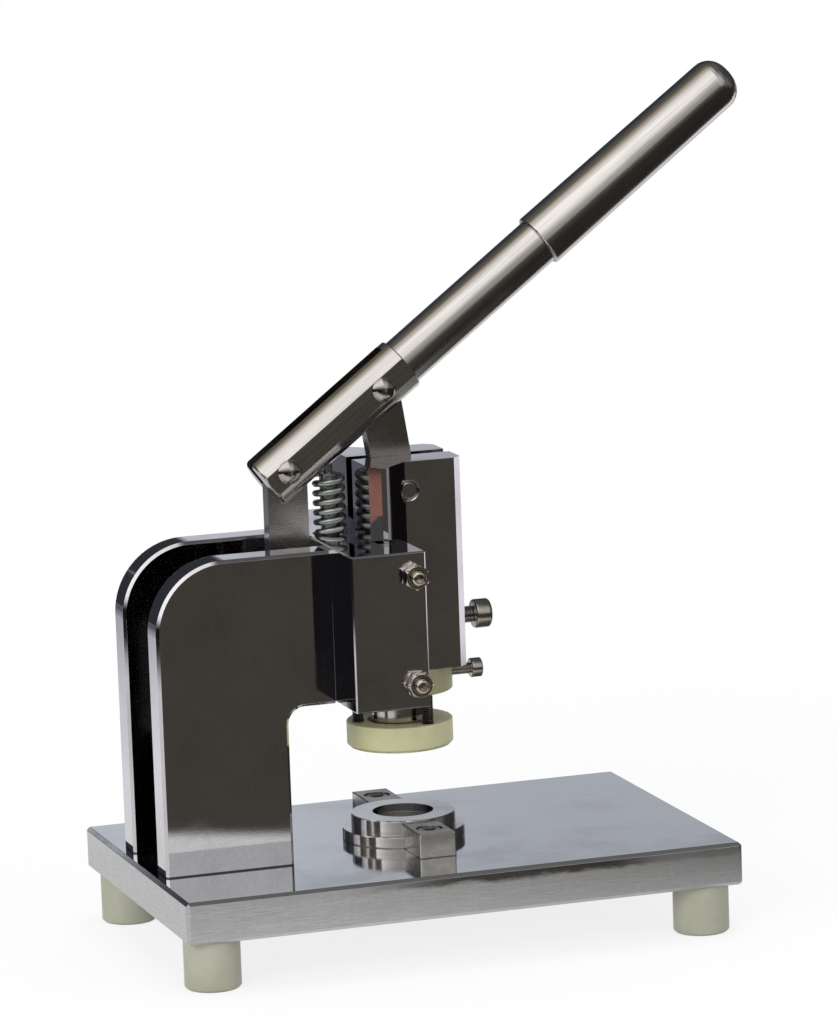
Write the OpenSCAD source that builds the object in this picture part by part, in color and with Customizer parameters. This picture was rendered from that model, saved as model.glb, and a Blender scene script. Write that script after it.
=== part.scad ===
// Hand lever press that cuts round discs from foil and thin sheet. All lengths are in millimetres.
// The origin is the middle of the base plate's outline, on the bench. +X points to the front, +Z up.

/* [Base plate] */
// Length of the base plate, back to front
base_l = 200; // [185:1:230]
// Width of the base plate
base_w = 130; // [122:1:150]
// Thickness of the base plate
base_t = 15; // [14:0.5:20]
// Bevel along the base plate's edges
base_bevel = 1.2; // [0.4:0.1:2]

/* [Feet] */
// Diameter of a foot
foot_d = 19.5; // [16:0.5:22]
// Height of a foot
foot_h = 17.5; // [14:0.5:25]
// Bevel round a foot's lower edge
foot_bevel = 0.8; // [0.2:0.1:1.5]
// Distance from the base plate's short edges to the foot's axis
foot_in_x = 11.5; // [11.5:0.5:16]
// Distance from the base plate's long edges to the foot's axis
foot_in_y = 12; // [11.5:0.5:16]

/* [Side plates] */
// Thickness of each side plate
plate_t = 12; // [11:0.5:14]
// Gap between the two side plates
plate_gap = 30; // [24:1:32]
// Distance from the base plate's back edge to the side plates
plate_in = 4; // [2:0.5:8]
// Depth of the upright leg, back to front
leg_w = 45.7; // [38:0.1:50]
// Depth of the side plates along their arm
frame_d = 62.8; // [60:0.1:68]
// Height of the side plates
frame_h = 108.4; // [104:0.1:120]
// Height of the throat under the arm
throat_h = 55; // [52:0.5:58]
// Radius of the outer corner at the back
corner_r = 25; // [10:1:35]
// Radius of the throat's inner corner
throat_r = 6; // [2:0.5:8]
// Bevel along the side plates' edges
plate_bevel = 1; // [0.3:0.1:1.5]

/* [Guide block] */
// Width of the guide block
guide_w = 101; // [92:1:112]
// Depth of the guide block, back to front
guide_d = 26.5; // [24:0.1:29]
// Thickness of the wall behind the dovetail groove
guide_wall = 16.15; // [15:0.05:17]
// How far the guide block stands above the side plates
guide_proud = 1.3; // [0.5:0.1:4]
// How far the guide block starts above the throat's ceiling
guide_lift = 0.5; // [0:0.1:2]
// Bevel along the guide block's edges
guide_bevel = 0.5; // [0.2:0.1:1]
// Thickness of the gib strip, square to its slope
gib_t = 4; // [3:0.1:5]
// Height of the set screws above the guide block's underside
gib_screw_low = 8.7; // [6:0.1:16]
// Depth of the set screws below the guide block's top
gib_screw_high = 8.2; // [6:0.1:16]

/* [Ram] */
// Depth of the ram, back to front
ram_d = 35.6; // [34:0.1:40]
// Width of the ram's front slab
ram_w = 34.5; // [32:0.5:38]
// Width of the ram's dovetail
dove_w = 54; // [50:0.5:56]
// Height of the ram above the guide block
ram_rise = 25.5; // [24:0.1:30]
// Height of the ram's underside above the guide block's underside
ram_lift = 6.1; // [4:0.1:10]
// Bevel of the ram's front corners
ram_bevel = 3; // [1:0.1:5]
// Width of the slot that the link stands in
slot_w = 6.5; // [6.2:0.1:8]
// Depth of that slot below the ram's top
slot_h = 21; // [19.5:0.5:24]

/* [Linkage] */
// Angle of the lever above the bench at rest, in degrees
lever_rest = 36.4; // [30:0.1:42]
// Distance between the lever's two pins
crank_r = 43.5; // [41:0.5:47]
// Height of the lever's rear pin above the guide block
pivot_rise = 23.95; // [20:0.05:28]
// Distance of the ram's pin below the ram's top
ram_pin_drop = 10.2; // [9:0.1:12]
// Distance of the ram's pin in front of the ram's back
ram_pin_in = 16; // [13:0.5:19]
// Diameter of the pins
pin_d = 6; // [5:0.1:7]
// Thickness of the link and of the rear post
bar_t = 6; // [5:0.1:6.2]
// Width of the link
link_w = 14.5; // [12:0.5:16]
// Width of the rear post
post_w = 14.4; // [13.4:0.1:15]
// Distance of the lever's rear pin behind the guide block
pivot_back = 7.9; // [7:0.1:8.5]
// Travel of the ram
stroke = 25.2; // [23.5:0.1:26]

/* [Lever] */
// Diameter of the lever's fork
fork_d = 19.5; // [18.5:0.1:22]
// Distance across the flats of the fork
fork_flat = 18; // [16:0.1:19.4]
// Diameter of the lever's rod
rod_d = 17.2; // [14:0.1:18]
// Length of the rod between the fork and the grip
rod_l = 64.5; // [50:0.5:90]
// Length of the grip
grip_l = 90.8; // [80:0.1:130]
// Diameter of the grip at its lower end
grip_d = 19.8; // [18:0.1:26]
// Diameter of the grip at its upper end
grip_tip_d = 18.8; // [17:0.1:26]
// Angle between the rod's axis and the line through the pins, in degrees
rod_tilt = 0.5; // [0:0.1:1]

/* [Punch and die] */
// Diameter of the disc that is cut
cut_d = 21.4; // [20.6:0.1:21.8]
// Diameter of the punch's body
punch_d = 20; // [18:0.1:20.5]
// Diameter of the punch's shank inside the ram
shank_d = 16; // [12:0.5:17]
// Height of the die
die_h = 9; // [8:0.1:11]
// Diameter of the die's upper ring
die_d = 36.8; // [34:0.1:40]
// Diameter of the die's flange
flange_d = 43.2; // [41:0.1:46]
// Height of the die's flange
flange_h = 4; // [3:0.1:5]
// Height of the die's clamp blocks
clamp_h = 8.5; // [8:0.1:10]
// Width of a clamp block
clamp_w = 13; // [11:0.5:16]
// Distance from the die's axis to the end of a clamp block
clamp_reach = 38.6; // [37:0.1:42]
// Distance from the die's axis to a clamp screw
clamp_screw_r = 29.5; // [28:0.1:31]

/* [Stripper] */
// Diameter of the lower plastic ring, which holds the sheet down
ring_d = 37.2; // [36:0.1:38]
// Height of the lower plastic ring
ring_h = 9; // [7:0.5:11]
// Diameter of the upper plastic collar
collar_d = 38; // [37:0.1:38.5]
// Height of the upper plastic collar
collar_h = 9; // [8.8:0.1:9.6]
// Depth of the punch's face inside the lower ring
punch_recess = 0.5; // [0.3:0.1:1.5]
// Outer diameter of the three small springs
small_spring_d = 4; // [3.6:0.1:4.2]
// Curls of a small spring
small_curls = 10; // [6:1:11]
// Distance of the small springs from the punch's axis
small_spring_r = 14.8; // [14.4:0.1:15.2]

/* [Return spring] */
// Outer diameter of the return spring
spring_d = 11.5; // [10.5:0.1:12]
// Wire diameter of the return spring
spring_wire = 2.2; // [1.8:0.1:2.4]
// Curls of the return spring
spring_curls = 6; // [4:1:6]

/* [Screws] */
// Diameter of the large screws
screw_l = 6; // [5:0.5:6]
// Diameter of the middle screws
screw_m = 5; // [4:0.5:5]
// Diameter of the small screws
screw_s = 4; // [3:0.5:4]
// How far the punch's clamp screw stands in front of the ram
clamp_screw_proud = 7.7; // [2:0.1:9]
// How far the collar's screw stands in front of the ram
collar_screw_proud = 5.9; // [2:0.1:9]

/* [Hidden] */

$fn = 96;

// Overrun of cuts past the faces they leave
over = 1;
// Clearance between sliding faces
slide_fit = 0.05;
// Radial clearance of a pin in its running bore
pin_fit = 0.05;
// Radial clearance of a screw in its thread
thread_fit = 0.05;
// Radial clearance of a screw in a plain hole
hole_fit = 0.3;
// Clearance round a screw head in its counterbore
head_fit = 0.4;
// Depth of a screw head below the face it is sunk in
head_sink = 0.3;
// Gap left between soft or curved neighbours
soft_gap = 0.3;

// Proportions of a socket head screw, as shares of its diameter
head_share = 1.7;
head_rise_share = 1;
socket_share = 0.8;
socket_depth_share = 0.55;
head_bevel_share = 0.1;
// Proportions of a hexagon nut, as shares of its screw's diameter
nut_share = 1.848;
nut_rise_share = 0.94;
// Socket of a set screw, as a share of its diameter
set_socket_share = 0.56;

// Heights of the main parts
base_top = foot_h + base_t;
guide_z = base_top + throat_h + guide_lift;
guide_top = base_top + frame_h + guide_proud;
guide_h = guide_top - guide_z;
ram_z = guide_z + ram_lift;
ram_top = guide_top + ram_rise;
pivot_z = guide_top + pivot_rise;
die_top = base_top + die_h;

// Places along X
spring_in = 8.5;
frame_x = -base_l / 2 + plate_in;
guide_x = frame_x + frame_d;
guide_front = guide_x + guide_d;
ram_x = guide_x + guide_wall + slide_fit;
ram_front = ram_x + ram_d;
spring_x = guide_x + spring_in;
pivot_x = guide_x - pivot_back;
plate_y = plate_gap / 2 + plate_t / 2;

// The punch stands this share of the ram's depth in front of the ram's back
punch_share = 0.421;
punch_x = ram_x + ram_d * punch_share;

// Dovetail outline, measured from the ram's back
heel_x = 3.1;
heel_y = 5;
land = 1.8;
apex_y = dove_w / 2;
neck_y = ram_w / 2;
flank_sum = heel_x + land + apex_y;
neck_x = flank_sum - neck_y;
groove_sum = flank_sum + slide_fit * sqrt(2);
groove_slack = 0.4;
groove_y = apex_y + groove_slack;
mouth_x = guide_front - ram_x;
gib_sum = groove_sum + gib_t * sqrt(2);
gib_gap = 0.1;
gib_end_gap = 0.5;
gib_screw_x = 5.8;
gib_spot = 2.2;

// Linkage: upper pin, ram pin and the link between them
upper_x = pivot_x + crank_r * cos(lever_rest);
upper_z = pivot_z + crank_r * sin(lever_rest);
ram_pin_x = ram_x + ram_pin_in;
ram_pin_z = ram_top - ram_pin_drop;
// The link's lower eye is wide and set back, so that the straight ratios of the joints stay clear
eye_play = 1.1;
eye_back = 1;
eye_down = 0.16;
eye_x = ram_pin_x - eye_back;
eye_z = ram_pin_z - eye_down;
link_l = norm([upper_x - ram_pin_x, upper_z - ram_pin_z]);
link_lean = atan2(ram_pin_x - upper_x, upper_z - ram_pin_z);

// Lever proportions
fork_tail = 8.5;
fork_round = 1.5;
fork_nose = 12;
slot_nose = 9;
spigot_d = 12;
spigot_l = 60;
grip_round = 7;
grip_crown = 0.6;
edge = 0.4;
head_d = 8.5;
head_rise = 2.1;

// Rear post
post_in = 5;
post_screw_share = [0.19, 0.6];
post_thread = 10;
post_bevel = 0.5;

// Guide block screws
guide_screw_share = [0.23, 0.77];
guide_thread = 16;

// Screws of the side plates and of the feet
plate_screw_in = 10;
plate_thread = 14;
foot_thread = 10;
foot_head_depth = 8;

// Return spring and its rod
seat_depth = 1.5;
seat_play = 0.4;
rod_play = 0.4;
rod_thread = 9;
rod_top = 21;
rod_tip_d = 3;
rod_tip = 6;
spring_top = 23.2;

// Clamp blocks start this share of the die's radius from its axis
clamp_share = 0.9;

// Punch, collar and stripper ring
cut_play = 0.04;
cut_land = 5;
shank_l = 30;
shank_flat = 0.6;
punch_screw_rise = 14.8;
collar_screw_drop = 4.3;
ring_bore_play = 0.5;
ring_bevel = 1;
collar_lip = 2.4;
collar_bevel = 0.3;
die_entry = 0.7;
die_bevel = 0.3;
die_land = 3;
die_relief = 0.5;
drop_play = 0.6;
tip_z = die_top + stroke - die_entry;
ring_z = tip_z - punch_recess;
ring_top = ring_z + ring_h;
collar_z = ram_z - collar_h;
clamp_bevel = 0.3;

// Small springs and the pockets that hold their ends
small_wire = 0.6;
ring_pocket = 1.5;
collar_pocket = 1;
pocket_play = 0.3;
small_spring_angles = [-66, 54, 174];

// Shapes that repeat

// Rectangle with its four corners cut off
module bevel_rect(a, b, cut) {
    polygon([
        [-a / 2 + cut, -b / 2], [a / 2 - cut, -b / 2], [a / 2, -b / 2 + cut], [a / 2, b / 2 - cut],
        [a / 2 - cut, b / 2], [-a / 2 + cut, b / 2], [-a / 2, b / 2 - cut], [-a / 2, -b / 2 + cut]]);
}

// Block with every edge bevelled, standing on z = 0
module bevel_block(l, w, h, cut) {
    intersection() {
        linear_extrude(h) bevel_rect(l, w, cut);
        rotate([90, 0, 0]) translate([0, h / 2, -w / 2]) linear_extrude(w) bevel_rect(l, h, cut);
        rotate([90, 0, 90]) translate([0, h / 2, -l / 2]) linear_extrude(l) bevel_rect(w, h, cut);
    }
}

// Cylinder with both rims bevelled, standing on z = 0
module bevel_rod(d, h, low_cut, high_cut) {
    rotate_extrude()
        polygon([
            [0, 0], [d / 2 - low_cut, 0], [d / 2, low_cut],
            [d / 2, h - high_cut], [d / 2 - high_cut, h], [0, h]]);
}

// Cylinder with a rounded lower rim and a bevelled upper rim, standing on z = 0
module round_rod(d, h, low_round, high_cut) {
    rotate_extrude()
        polygon(concat(
            [[0, 0]],
            [for (a = [0 : 22.5 : 90])
                [d / 2 - low_round + low_round * sin(a), low_round - low_round * cos(a)]],
            [[d / 2, h - high_cut], [d / 2 - high_cut, h], [0, h]]));
}

// Ring with both outer rims bevelled, standing on z = 0
module bevel_ring(d, bore, h, low_cut, high_cut) {
    rotate_extrude()
        polygon([
            [bore / 2, 0], [d / 2 - low_cut, 0], [d / 2, low_cut],
            [d / 2, h - high_cut], [d / 2 - high_cut, h], [bore / 2, h]]);
}

// Socket head screw with the underside of its head on z = 0 and its shank below
module cap_screw(d, l) {
    head = d * head_rise_share;
    cut = d * head_bevel_share;
    difference() {
        union() {
            rotate_extrude()
                polygon([
                    [0, -l], [d / 2 - cut, -l], [d / 2, -l + cut], [d / 2, 0], [d * head_share / 2, 0],
                    [d * head_share / 2, head - cut], [d * head_share / 2 - cut, head], [0, head]]);
        }
        translate([0, 0, head - d * socket_depth_share])
            cylinder(h = d, d = d * socket_share / cos(30), $fn = 6);
    }
}

// Counterbored hole for such a screw: head pocket above z = 0, plain hole below
module cap_hole(d, l, depth) {
    cylinder(h = depth, d = d * head_share + head_fit * 2);
    translate([0, 0, -l]) cylinder(h = l + over, d = d + hole_fit * 2);
}

// Tapped hole that runs down from z = 0
module tapped(d, l) {
    translate([0, 0, -l]) cylinder(h = l + over, d = d + thread_fit * 2);
}

// Pin along Y with domed heads on the faces at y = -half and y = half
module domed_pin(d, half) {
    rotate([90, 0, 0]) translate([0, 0, -half]) cylinder(h = half * 2, d = d);
    for (side = [0, 180])
        rotate([90 + side, 0, 0]) translate([0, 0, half]) dome();
}

// Domed head that stands on z = 0
module dome() {
    ball = (head_d * head_d / 4 + head_rise * head_rise) / (head_rise * 2);
    intersection() {
        translate([0, 0, head_rise - ball]) sphere(r = ball);
        cylinder(h = head_rise, d = head_d);
    }
}

// Puts its children at the four feet
module at_feet() {
    for (sx = [-1, 1], sy = [-1, 1])
        translate([sx * (base_l / 2 - foot_in_x), sy * (base_w / 2 - foot_in_y), 0])
            children();
}

// Puts its children at the four screws under the side plates
module at_plate_screws() {
    for (x = [frame_x + plate_screw_in, frame_x + leg_w - plate_screw_in], sy = [-1, 1])
        translate([x, sy * plate_y, 0])
            children();
}

// Puts its children at the die's two clamp screws
module at_clamp_screws() {
    for (sy = [-1, 1])
        translate([punch_x, sy * clamp_screw_r, base_top])
            children();
}

// Puts its children at the guide block's four screws, z pointing to the front
module at_guide_screws() {
    for (share = guide_screw_share, sy = [-1, 1])
        translate([guide_x + guide_wall, sy * plate_y, guide_z + guide_h * share])
            rotate([0, 90, 0])
                children();
}

// Puts its children at the rear post's two screws, z pointing to the front
module at_post_screws() {
    for (share = post_screw_share)
        translate([guide_x + guide_wall, 0, guide_z + guide_h * share])
            rotate([0, 90, 0])
                children();
}

// Puts its children at the two set screws, z pointing out of the near side
module at_gib_screws() {
    translate([ram_x + gib_screw_x, 0, guide_z + gib_screw_low]) rotate([90, 0, 0]) children();
    translate([ram_x + gib_screw_x, 0, guide_top - gib_screw_high]) rotate([90, 0, 0]) rotate(30) children();
}

// Puts its children in the lever's own frame: origin in the rear pin, X along the lever
module in_lever() {
    translate([pivot_x, 0, pivot_z]) rotate([0, -lever_rest, 0]) children();
}

// Puts its children on the rod's axis, z pointing along the lever
module on_rod() {
    in_lever() rotate([0, 90 - rod_tilt, 0]) children();
}

// Puts its children at the three small springs, on the given height
module at_small_springs(z) {
    for (angle = small_spring_angles)
        translate([punch_x, 0, z]) rotate(angle) translate([small_spring_r, 0, 0]) children();
}

// Points along a spring's wire: straight for one wire diameter, wound, straight again
function coil_path(r, wire, h, curls) = concat(
    [[r, 0, 0]],
    [for (i = [0 : curls * 8])
        let (a = i * 45, z = wire + (h - wire * 2) * i / (curls * 8))
        [r * cos(a), r * sin(a), z]],
    [[r, 0, h]]);

function unit(v) = v / norm(v);

// Direction of the wire at point i: upright at both ends
function wire_way(path, i) =
    i == 0 || i == len(path) - 1 ? [0, 0, 1] : unit(path[i + 1] - path[i - 1]);

// The six corners of the wire's section at point i
function wire_ring(path, i, wire) =
    let (
        way = wire_way(path, i),
        out = unit([path[i][0], path[i][1], 0]),
        side = unit(out - way * (out * way)),
        rise = cross(way, side))
    [for (k = [0 : 5]) path[i] + (side * cos(k * 60) + rise * sin(k * 60)) * wire / 2];

// One unbroken tube of six sides along the path
module coil(path, wire) {
    count = len(path);
    points = [for (i = [0 : count - 1]) each wire_ring(path, i, wire)];
    skin = [for (i = [0 : count - 2], k = [0 : 5]) each [
        [i * 6 + k, (i + 1) * 6 + k, i * 6 + (k + 1) % 6],
        [i * 6 + (k + 1) % 6, (i + 1) * 6 + k, (i + 1) * 6 + (k + 1) % 6]]];
    low_cap = [for (k = [1 : 4]) [0, k, k + 1]];
    high_cap = [for (k = [1 : 4]) [(count - 1) * 6, (count - 1) * 6 + k + 1, (count - 1) * 6 + k]];
    polyhedron(points = points, faces = concat(skin, low_cap, high_cap), convexity = 10);
}

// Least gap between points of the tube that are more than half a curl apart
function coil_gap(path, wire) = min([
    for (i = [0 : len(path) - 1]) let (a = wire_ring(path, i, wire))
        for (j = [i + 5 : 1 : min(i + 11, len(path) - 1)]) let (b = wire_ring(path, j, wire))
            for (p = a) min([for (q = b) norm(p - q)])]);

return_path = coil_path((spring_d - spring_wire) / 2, spring_wire, spring_top + seat_depth, spring_curls);
small_l = collar_z + collar_pocket - ring_top + ring_pocket;
small_path = coil_path((small_spring_d - small_wire) / 2, small_wire, small_l, small_curls);
echo(return_spring_gap = coil_gap(return_path, spring_wire));
echo(small_spring_gap = coil_gap(small_path, small_wire));

// Base and feet

module base_plate() {
    color("lightsteelblue")
        difference() {
            translate([0, 0, foot_h]) bevel_block(base_l, base_w, base_t, base_bevel);
            translate([punch_x, 0, foot_h - over])
                cylinder(h = base_t + over * 2, d = cut_d + drop_play * 2);
            at_feet() translate([0, 0, foot_h - over])
                cylinder(h = foot_thread + over, d = screw_m + thread_fit * 2);
            at_plate_screws() {
                translate([0, 0, foot_h - over]) cylinder(h = base_t + over * 2, d = screw_l + hole_fit * 2);
                translate([0, 0, foot_h - over])
                    cylinder(
                        h = screw_l * head_rise_share + head_sink + over,
                        d = screw_l * head_share + head_fit * 2);
            }
            at_clamp_screws() tapped(screw_m, clamp_h);
        }
}

module feet() {
    color("ivory")
        at_feet() difference() {
            bevel_rod(foot_d, foot_h, foot_bevel, foot_bevel / 2);
            translate([0, 0, -over]) cylinder(h = foot_h + over * 2, d = screw_m + hole_fit * 2);
            translate([0, 0, -over])
                cylinder(h = foot_head_depth + over, d = screw_m * head_share + head_fit * 2);
        }
}

module foot_screws() {
    color("dimgray")
        at_feet() translate([0, 0, foot_head_depth]) rotate([180, 0, 0])
            cap_screw(screw_m, foot_h - foot_head_depth + foot_thread - head_sink);
}

// Side plates

// Outline of a side plate in X and Z: an upright leg with an arm over the throat
module plate_outline() {
    difference() {
        union() {
            square([leg_w, frame_h - corner_r]);
            translate([corner_r, throat_h]) square([frame_d - corner_r, frame_h - throat_h]);
            translate([0, throat_h]) square([corner_r, frame_h - throat_h - corner_r]);
            translate([corner_r, frame_h - corner_r]) circle(r = corner_r);
            translate([leg_w - over, throat_h - throat_r]) square([throat_r + over, throat_r + over]);
        }
        translate([leg_w + throat_r, throat_h - throat_r]) circle(r = throat_r);
    }
}

// Section of a bevel cut on an edge at x = at, where the solid lies towards inward (-1 or 1)
module bevel_section(at, inward) {
    polygon([
        [at + inward * (plate_bevel + over), plate_t / 2 + over],
        [at - inward * over, plate_t / 2 + over],
        [at - inward * over, plate_t / 2 - plate_bevel - over]]);
}

// Bevel cut along a straight edge that runs up from the origin for a length
module edge_bevel(length, inward) {
    rotate([90, 0, 90]) rotate([0, -90, 0]) linear_extrude(length) bevel_section(0, inward);
}

// Cuts on one face of a side plate, with the plate lying in X and Y
module plate_bevels() {
    straight = frame_h - corner_r;
    // back edge
    translate([0, straight, 0]) rotate([90, 0, 0]) linear_extrude(straight + over) bevel_section(0, 1);
    // top edge
    translate([corner_r, frame_h, 0]) rotate([90, 0, 90]) linear_extrude(frame_d - corner_r + over)
        bevel_section(0, -1);
    // outer corner
    translate([corner_r, frame_h - corner_r, 0]) rotate(90) rotate_extrude(angle = 90)
        bevel_section(corner_r, -1);
    // front edge of the leg
    translate([leg_w, throat_h - throat_r, 0]) rotate([90, 0, 0])
        linear_extrude(throat_h - throat_r + over) bevel_section(0, -1);
    // ceiling of the throat
    translate([leg_w + throat_r, throat_h, 0]) rotate([90, 0, 90])
        linear_extrude(frame_d - leg_w - throat_r + over) bevel_section(0, 1);
    // inner corner of the throat
    translate([leg_w + throat_r, throat_h - throat_r, 0]) rotate(90) rotate_extrude(angle = 90)
        bevel_section(throat_r, 1);
}

module side_plate(side) {
    difference() {
        translate([frame_x, side * plate_y, base_top]) rotate([90, 0, 0]) difference() {
            translate([0, 0, -plate_t / 2]) linear_extrude(plate_t) plate_outline();
            plate_bevels();
            mirror([0, 0, 1]) plate_bevels();
        }
        at_plate_screws() translate([0, 0, base_top + plate_thread]) tapped(screw_l, plate_thread + over);
        at_guide_screws() translate([0, 0, -guide_wall]) tapped(screw_l, guide_thread);
    }
}

module side_plate_near() {
    color("gainsboro") side_plate(-1);
}

module side_plate_far() {
    color("gainsboro") side_plate(1);
}

module plate_screws() {
    color("dimgray")
        at_plate_screws()
            translate([0, 0, foot_h + screw_l * head_rise_share + head_sink]) rotate([180, 0, 0])
                cap_screw(screw_l, base_t - screw_l * head_rise_share + plate_thread - head_sink * 2);
}

// Guide block with the dovetail groove

// Groove outline in X and Y, from the ram's back; the near side is wider, for the gib
module groove_outline() {
    out = mouth_x + over;
    polygon([
        [-slide_fit, groove_y], [groove_sum - groove_y, groove_y], [out, groove_sum - out],
        [out, -(gib_sum - out)], [-slide_fit, -(gib_sum + slide_fit)]]);
}

module guide_block() {
    color("silver")
        difference() {
            translate([guide_x + guide_d / 2, 0, guide_z])
                bevel_block(guide_d, guide_w, guide_h, guide_bevel);
            translate([ram_x, 0, guide_z - over]) linear_extrude(guide_h + over * 2) groove_outline();
            at_gib_screws() cylinder(h = guide_w, d = screw_m + thread_fit * 2);
            at_guide_screws() translate([0, 0, -screw_l * head_rise_share - head_sink])
                cap_hole(screw_l, guide_wall, screw_l + over);
            at_post_screws() translate([0, 0, -screw_s * head_rise_share - head_sink])
                cap_hole(screw_s, guide_wall, screw_s + over);
            translate([spring_x, 0, guide_top - seat_depth])
                cylinder(h = seat_depth + over, d = spring_d + seat_play * 2);
            translate([spring_x, 0, guide_top - seat_depth]) tapped(screw_m, rod_thread + head_sink);
        }
}

module guide_screws() {
    color("dimgray")
        at_guide_screws() translate([0, 0, -screw_l * head_rise_share - head_sink])
            cap_screw(screw_l, guide_wall - screw_l * head_rise_share - head_sink * 2 + guide_thread);
}

module gib() {
    front = mouth_x - gib_gap;
    back = gib_gap;
    color("darkgray")
        difference() {
            translate([ram_x, 0, guide_z + gib_end_gap])
                linear_extrude(guide_h - gib_end_gap * 2)
                    polygon([
                        [front, -(groove_sum - front)], [groove_sum - groove_y, -groove_y], [back, -groove_y],
                        [back, -(gib_sum - back - gib_gap)], [front, -(gib_sum - front - gib_gap)]]);
            at_gib_screws() translate([0, 0, groove_y + gib_spot])
                cylinder(h = guide_w, d = screw_m + hole_fit * 2);
        }
}

// How far a set screw stands out of its nut
set_proud = 2.4;

module gib_set_screws() {
    tip = groove_y + gib_spot + slide_fit;
    length = guide_w / 2 + screw_m * nut_rise_share + set_proud - tip;
    color("silver")
        at_gib_screws() translate([0, 0, tip]) difference() {
            bevel_rod(screw_m, length, edge, edge);
            translate([0, 0, length - screw_m * socket_depth_share])
                cylinder(h = screw_m, d = screw_m * set_socket_share / cos(30), $fn = 6);
        }
}

module gib_lock_nuts() {
    rise = screw_m * nut_rise_share;
    corner = screw_m * nut_share;
    color("silver")
        at_gib_screws() translate([0, 0, guide_w / 2]) difference() {
            intersection() {
                cylinder(h = rise, d = corner, $fn = 6);
                bevel_rod(corner, rise, edge / 2, edge);
            }
            translate([0, 0, -over]) cylinder(h = rise + over * 2, d = screw_m + thread_fit * 2);
        }
}

// Rear post and return spring

module fulcrum_post() {
    low = guide_z + post_in;
    color("gray")
        difference() {
            union() {
                translate([guide_x - post_w, -bar_t / 2, low]) cube([post_w, bar_t, pivot_z - low]);
                translate([pivot_x, 0, pivot_z]) rotate([90, 0, 0]) translate([0, 0, -bar_t / 2])
                    cylinder(h = bar_t, r = post_w - pivot_back);
            }
            translate([pivot_x, 0, pivot_z]) rotate([90, 0, 0])
                cylinder(h = bar_t * 2, d = pin_d + pin_fit * 2, center = true);
            at_post_screws() translate([0, 0, -guide_wall]) tapped(screw_s, post_thread);
        }
}

module post_screws() {
    color("dimgray")
        at_post_screws() translate([0, 0, -screw_s * head_rise_share - head_sink])
            cap_screw(screw_s, guide_wall - screw_s * head_rise_share - head_sink * 2 + post_thread);
}

module spring_guide_rod() {
    thick = spring_d - spring_wire * 2 - rod_play * 2;
    color("gray")
        translate([spring_x, 0, guide_top - seat_depth]) {
            translate([0, 0, -rod_thread]) cylinder(h = rod_thread + over, d = screw_m);
            bevel_rod(thick, seat_depth + rod_top, 0, edge);
            translate([0, 0, seat_depth + rod_top - over]) bevel_rod(rod_tip_d, rod_tip + over, 0, edge);
        }
}

module return_spring() {
    color("darkslategray")
        translate([spring_x, 0, guide_top - seat_depth]) rotate(180) coil(return_path, spring_wire);
}

// Die and its clamps

module die() {
    bore = cut_d / 2;
    color("silver")
        translate([punch_x, 0, base_top]) rotate_extrude()
            polygon([
                [bore + die_relief, 0], [flange_d / 2 - die_bevel, 0], [flange_d / 2, die_bevel],
                [flange_d / 2, flange_h - die_bevel], [flange_d / 2 - die_bevel, flange_h],
                [die_d / 2, flange_h], [die_d / 2, die_h - die_bevel], [die_d / 2 - die_bevel, die_h],
                [bore, die_h], [bore, die_h - die_land], [bore + die_relief, die_h - die_land]]);
}

module die_clamp(side) {
    length = clamp_reach - die_d / 2 * clamp_share;
    difference() {
        translate([punch_x, side * (clamp_reach - length / 2), base_top])
            bevel_block(clamp_w, length, clamp_h, clamp_bevel);
        translate([punch_x, 0, base_top - over]) {
            cylinder(h = flange_h + over, d = flange_d + soft_gap * 2);
            cylinder(h = clamp_h + over * 2, d = die_d + soft_gap * 2);
        }
        translate([punch_x, side * clamp_screw_r, base_top + clamp_h - screw_m * head_rise_share - head_sink])
            cap_hole(screw_m, clamp_h, screw_m + over);
    }
}

module die_clamp_near() {
    color("silver") die_clamp(-1);
}

module die_clamp_far() {
    color("silver") die_clamp(1);
}

module die_clamp_screws() {
    color("gray")
        at_clamp_screws() translate([0, 0, clamp_h - screw_m * head_rise_share - head_sink])
            cap_screw(screw_m, clamp_h * 2 - screw_m * head_rise_share - head_sink * 2);
}

// Lever

module lever() {
    nose = crank_r + fork_nose;
    color("lightgray")
        difference() {
            union() {
                intersection() {
                    on_rod() translate([0, 0, -fork_tail]) round_rod(fork_d, nose + fork_tail, fork_round, edge);
                    in_lever() translate([-fork_tail * 2, -fork_flat / 2, -fork_d])
                        cube([nose + fork_tail * 4, fork_flat, fork_d * 2]);
                }
                on_rod() translate([0, 0, nose - over]) cylinder(h = rod_l + over, d = rod_d);
                on_rod() translate([0, 0, nose + rod_l - over]) bevel_rod(spigot_d, spigot_l + over, 0, edge);
            }
            in_lever() translate([-fork_tail * 2, -slot_w / 2, -fork_d])
                cube([crank_r + slot_nose + fork_tail * 2, slot_w, fork_d * 2]);
            for (x = [0, crank_r])
                in_lever() translate([x, 0, 0]) rotate([90, 0, 0])
                    cylinder(h = fork_d * 2, d = pin_d + pin_fit, center = true);
        }
}

// The grip is a capped tube on the rod's spigot, with a rounded end
module lever_grip() {
    r0 = grip_d / 2;
    r1 = grip_tip_d / 2;
    round_r = grip_round;
    color("lightgray")
        on_rod() translate([0, 0, crank_r + fork_nose + rod_l]) difference() {
            rotate_extrude()
                polygon(concat(
                    [[0, 0], [r0 - edge, 0], [r0, edge]],
                    [for (a = [0 : 10 : 90])
                        [r1 - round_r + round_r * cos(a), grip_l - grip_crown - round_r + round_r * sin(a)]],
                    [[0, grip_l]]));
            translate([0, 0, -over]) cylinder(h = spigot_l + over * 2, d = spigot_d + pin_fit * 2);
        }
}

module fulcrum_pin() {
    color("silver") in_lever() domed_pin(pin_d, fork_flat / 2);
}

module link_upper_pin() {
    color("silver") in_lever() translate([crank_r, 0, 0]) domed_pin(pin_d, fork_flat / 2);
}

// Link, drawn hanging from its upper pin

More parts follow.
